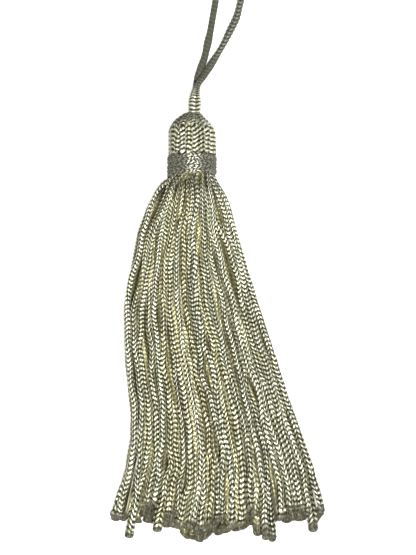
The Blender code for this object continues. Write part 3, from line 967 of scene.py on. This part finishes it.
def plainTube(vertices, faces, centres, widths, sides, flat=1.0):  # adds a tube that runs down the skirt
    first = len(vertices)
    for (x, y, z), width in zip(centres, widths):
        for k in range(sides):
            turn = 2 * math.pi * k / sides
            vertices.append((x + width * math.cos(turn), y, max(z + width * flat * math.sin(turn), 0.0)))
    for start in range(first, len(vertices) - sides, sides):
        for k in range(sides):
            a, b = start + k, start + (k + 1) % sides
            faces.append((a, b, b + sides, a + sides))


def makeFibres(lines):
    chance = np.random.default_rng(skirt["seed"] + 3)
    vertices, faces = [], []
    for at, across, height, level in lines:
        path = place(across, at, height)
        tangent = path[-1] - path[-4]
        tangent /= np.linalg.norm(tangent)
        for filament in range(fibres["count"]):
            offset = chance.normal(0.0, fibres["scatter"], 3) * skirt["cordDiameter"] / 2
            start = path[-1] + offset - tangent * chance.uniform(0.0, fibres["back"])
            aim = tangent + chance.normal(0.0, fibres["splay"], 3)
            bend = chance.normal(0.0, fibres["bend"], 3)
            length = chance.uniform(*fibres["length"])
            shares = (0.0, 0.5, 1.0)
            centres = [start + length * (aim * share + bend * share**2) for share in shares]
            widths = [fibres["thickness"] * (1 - fibres["thinning"] * share) for share in shares]
            plainTube(vertices, faces, centres, widths, fibres["sides"])
    addPiece("cut_fibres", vertices, faces, fibreMaterial(), "chainette")


makeFibres(skirtLines)

# Smooth, pale threads that show between the cords near the ends

paleThreads = {
    "routes": (  # across, down
        ((-0.0132, 0.0855), (-0.0143, 0.0905), (-0.0154, 0.0955), (-0.0163, 0.0995)),
        ((0.0297, 0.094), (0.0303, 0.0965), (0.0309, 0.0992), (0.031, 0.1)),
    ),
    "pointStep": 0.0005,
    "halfWidth": 0.00027,
    "flat": 0.5,
    "sunk": 0.00006,  # below the cords beside it
    "evened": 7,  # points over which its height is evened out
    "blunt": 0.4,
    "sides": 8,
    "colour": (0.24, 0.245, 0.19),
    "streakColour": (0.46, 0.465, 0.38),
    "streaks": (3000.0, 300.0, 3000.0),
    "roughness": 0.4,
}


def threadMaterial():
    material, graph = newMaterial("paleThread")
    inside = graph.node("ShaderNodeTexCoord", {}, {}, output=3)
    drawn = graph.node("ShaderNodeMapping", {}, {"Vector": inside, "Scale": paleThreads["streaks"]})
    colour = graph.mixColour(graph.noise(drawn, 1.0, 2.0), paleThreads["colour"], paleThreads["streakColour"])
    graph.surface({"Base Color": colour, "Roughness": paleThreads["roughness"]})
    return material


def topHeight(paths, across, down):  # of the cords over one spot
    found = 0.0
    for at, cordAcross, cordHeight, radius in paths:
        if at[0] <= down <= at[-1]:
            offset = across - np.interp(down, at, cordAcross)
            reach = np.interp(down, at, radius)
            if abs(offset) < reach:
                found = max(found, float(np.interp(down, at, cordHeight) + math.sqrt(reach**2 - offset**2)))
    return found


def makePaleThreads(paths):
    vertices, faces = [], []
    sides, evened = paleThreads["sides"], paleThreads["evened"]
    for spots in paleThreads["routes"]:
        route = smoothRoute([(*spot, 0.0) for spot in spots], paleThreads["pointStep"])[:, :2]
        heights = np.pad([topHeight(paths, *spot) for spot in route], evened // 2, "edge")
        heights = np.convolve(heights, np.full(evened, 1 / evened), "valid") - paleThreads["sunk"]
        rise = [math.sin(math.pi * (number + 0.3) / (len(route) - 0.4)) for number in range(len(route))]
        widths = [paleThreads["halfWidth"] * share ** paleThreads["blunt"] for share in rise]
        first = len(vertices)
        plainTube(vertices, faces, place(*route.T, heights), widths, sides, paleThreads["flat"])
        faces.append(tuple(reversed(range(first, first + sides))))
        faces.append(tuple(range(len(vertices) - sides, len(vertices))))
    addPiece("pale_threads", vertices, faces, threadMaterial(), "chainette")


makePaleThreads(skirtPaths)

# Head: the folded cords that make its dome

head = {
    "cords": 20,
    "seed": 25,
    "points": 60,  # along each cord
    "top": -0.0004,  # down
    "length": 0.013,
    "closer": 1.3,  # how much closer together the points lie at the top
    "middle": 0.006,  # down
    "fullness": 1.12,
    "lean": (0.15, 0.55),
    "skew": 0.42,  # how much the courses rise to the right
    "skewLoss": 0.7,  # how much less they do at the right side
    "skewFrom": (0.1, 0.6),
    "legEnds": 0.5,
    "tone": (-0.02, 0.66),
    "warm": (0.0, 0.3),
    "leftShade": 0.45,
    "leftFrom": (0.0024, 0.0054),  # across, to the left
    "twist": 60.0,
    "turned": 0.4,
    "roll": 0.5,
    "crowdTo": (0.001, 0.0046),  # down: over which every second cord sinks under its neighbours
    "crowded": 0.75,  # how much wider the others are there
    "sunk": 0.9,
    "dull": 0.62,  # painted shade: how dull and dark its top and its left shoulder are
    "topShade": 0.55,
    "dullTop": 0.0028,  # down
    "dullOver": (0.5, 1.2),
    "dullShoulder": 0.0022,
    "shoulder": 0.005,  # across, to the left
}
headRows = (  # down, left, right
    (-0.0004, -0.0002, 0.001), (0.0000, -0.0012, 0.0019), (0.0004, -0.0024, 0.0025),
    (0.0015, -0.004, 0.0033), (0.0025, -0.0051, 0.0044), (0.0039, -0.006, 0.0055),
    (0.0055, -0.0062, 0.0061), (0.0082, -0.0062, 0.0062), (0.0104, -0.0062, 0.0062),
    (0.0115, -0.0062, 0.0062), (0.0121, -0.0057, 0.0058), (0.0126, -0.0052, 0.0053),
)


def headPoint(down, turn):
    left, right = readColumn(headRows, 1, down), readColumn(headRows, 2, down)
    half = (right - left) / 2
    return place((left + right) / 2 + half * np.cos(turn), down, axisHeight + half * np.sin(turn))


def makeHead():
    chance = np.random.default_rng(head["seed"])
    down = head["top"] + head["length"] * np.linspace(0, 1, head["points"]) ** head["closer"]
    step = 0.05
    tubes = []
    for number in range(head["cords"]):
        turn = 2 * math.pi * (number + 0.5) / head["cords"]
        surface = headPoint(down, turn)
        around = headPoint(down, turn + step) - headPoint(down, turn - step)
        outward = np.cross(around, np.gradient(surface, axis=0))
        outward /= np.linalg.norm(outward, axis=1)[:, None]
        outward *= np.sign((outward * (surface - place(0.0, head["middle"], axisHeight))).sum(axis=1))[:, None]
        room = np.linalg.norm(around, axis=1) / (2 * step) * math.pi / head["cords"]
        radius = head["fullness"] * np.clip(room, 0.0001, None)
        crowd = 1 - smoothStep(down, *head["crowdTo"])
        sinks = number % 2
        radius = radius * (1 + head["crowded"] * crowd * (1 - sinks))
        path = surface - outward * (radius * (1 + head["sunk"] * crowd * sinks))[:, None]
        turned = chance.choice([0.0, math.pi]) + head["turned"] * chance.normal()
        turned = turned + chance.normal(0, head["twist"]) * down + head["roll"] * wave(chance, down * 2)
        # Painted shade: the top and the left shoulder of the dome are darkened and dulled
        leftward = axisX - path[:, 0]
        dullTo = head["dullTop"] + head["dullShoulder"] * smoothStep(leftward, 0.0, head["shoulder"])
        shaded = 1 - smoothStep(down, *[share * dullTo for share in head["dullOver"]])
        shade = head["topShade"] * shaded + head["leftShade"] * smoothStep(leftward, *head["leftFrom"])
        skew = head["skew"] * (1 - head["skewLoss"] * smoothStep(math.cos(turn), *head["skewFrom"]))
        tubes.append(layChainette(
            path, outward, radius, turned, fineDetail, chance.uniform(*head["tone"]) - shade,
            warm=chance.choice(head["warm"]), sense=chance.choice([-1, 1]), lean=chance.uniform(*head["lean"]),
            skew=skew, dull=head["dull"] * shaded, legEnds=head["legEnds"], cut=False))
    joinTubes("head_cords", tubes, headMaterial, "chainette", "head")


makeHead()

# Neck binding: one cord wound round the neck, with four turns of it side by side

binding = {
    "turns": 5.4,  # the first and the last lie level
    "rise": (0.9, 4.5),
    "turnsBeside": 3,  # beside the first
    "turnWidth": 0.00116,
    "radius": 0.00628,
    "middle": -0.0001,  # across
    "top": 0.0112,
    "slant": 0.0001,
    "sag": 0.0007,  # of the last turn on its left side
    "halfWidth": 0.00072,
    "flat": 0.75,
    "pointsATurn": 90,
    "seed": 5,
    "tone": 0.6,
    "wander": 0.00012,  # how unevenly the turns lie
    "wanderPace": (90, 60),
    "roll": 2.5,
    "rollPace": 100,
    "twist": 0.4,
    "paintedSideShade": 0.92,  # painted shade: how dull and dark its sides are against its front
    "paintedSideShadeFrom": (0.15, 0.42),
    "brightSide": 0.05,  # its bright strip, left without painted shade, lies a little to the right
    # painted shade on its right side
    "rightFrom": (0.2, 0.5),
    "rightPaintedSideShade": 0.8,
    "rightShade": 0.6,
}


def makeBinding():
    chance = np.random.default_rng(binding["seed"])
    turns = np.linspace(0.0, binding["turns"], int(binding["pointsATurn"] * binding["turns"]) + 1)
    angle = 2 * math.pi * turns - math.pi / 2
    firstRise, lastRise = binding["rise"]
    level = np.clip((turns - firstRise) / (lastRise - firstRise), 0.0, 1.0)
    slant = (binding["slant"] + binding["sag"] * level) * (1 - np.cos(angle)) / 2
    down = binding["top"] + binding["turnWidth"] * (0.5 + binding["turnsBeside"] * level) + slant
    down = down + binding["wander"] * sum(wave(chance, angle / pace) for pace in binding["wanderPace"])
    ring = binding["radius"] - binding["halfWidth"] * binding["flat"]
    path = place(binding["middle"] + ring * np.cos(angle), down, axisHeight + ring * np.sin(angle))
    outward = np.stack([np.cos(angle), angle * 0, np.sin(angle)], axis=-1)
    # Painted shade: the sides of the binding are darkened and dulled, and its right side darker, leaving a
    # bright strip at the front
    right = smoothStep(np.cos(angle), *binding["rightFrom"])
    paintedSideShade = binding["paintedSideShade"] * smoothStep(np.abs(np.cos(angle) - binding["brightSide"]), *binding["paintedSideShadeFrom"])
    paintedSideShade = paintedSideShade * between((1.0, binding["rightPaintedSideShade"]), right)
    turned = binding["roll"] * wave(chance, angle / binding["rollPace"]) + binding["twist"] * angle
    tone = binding["tone"] - binding["rightShade"] * right
    tube = layChainette(path, outward, binding["halfWidth"], turned, fineDetail, tone,
                        flat=binding["flat"], dull=paintedSideShade, cut=False)
    joinTubes("binding_cord", [tube], bindingMaterial, "binding", "neck_binding")


makeBinding()
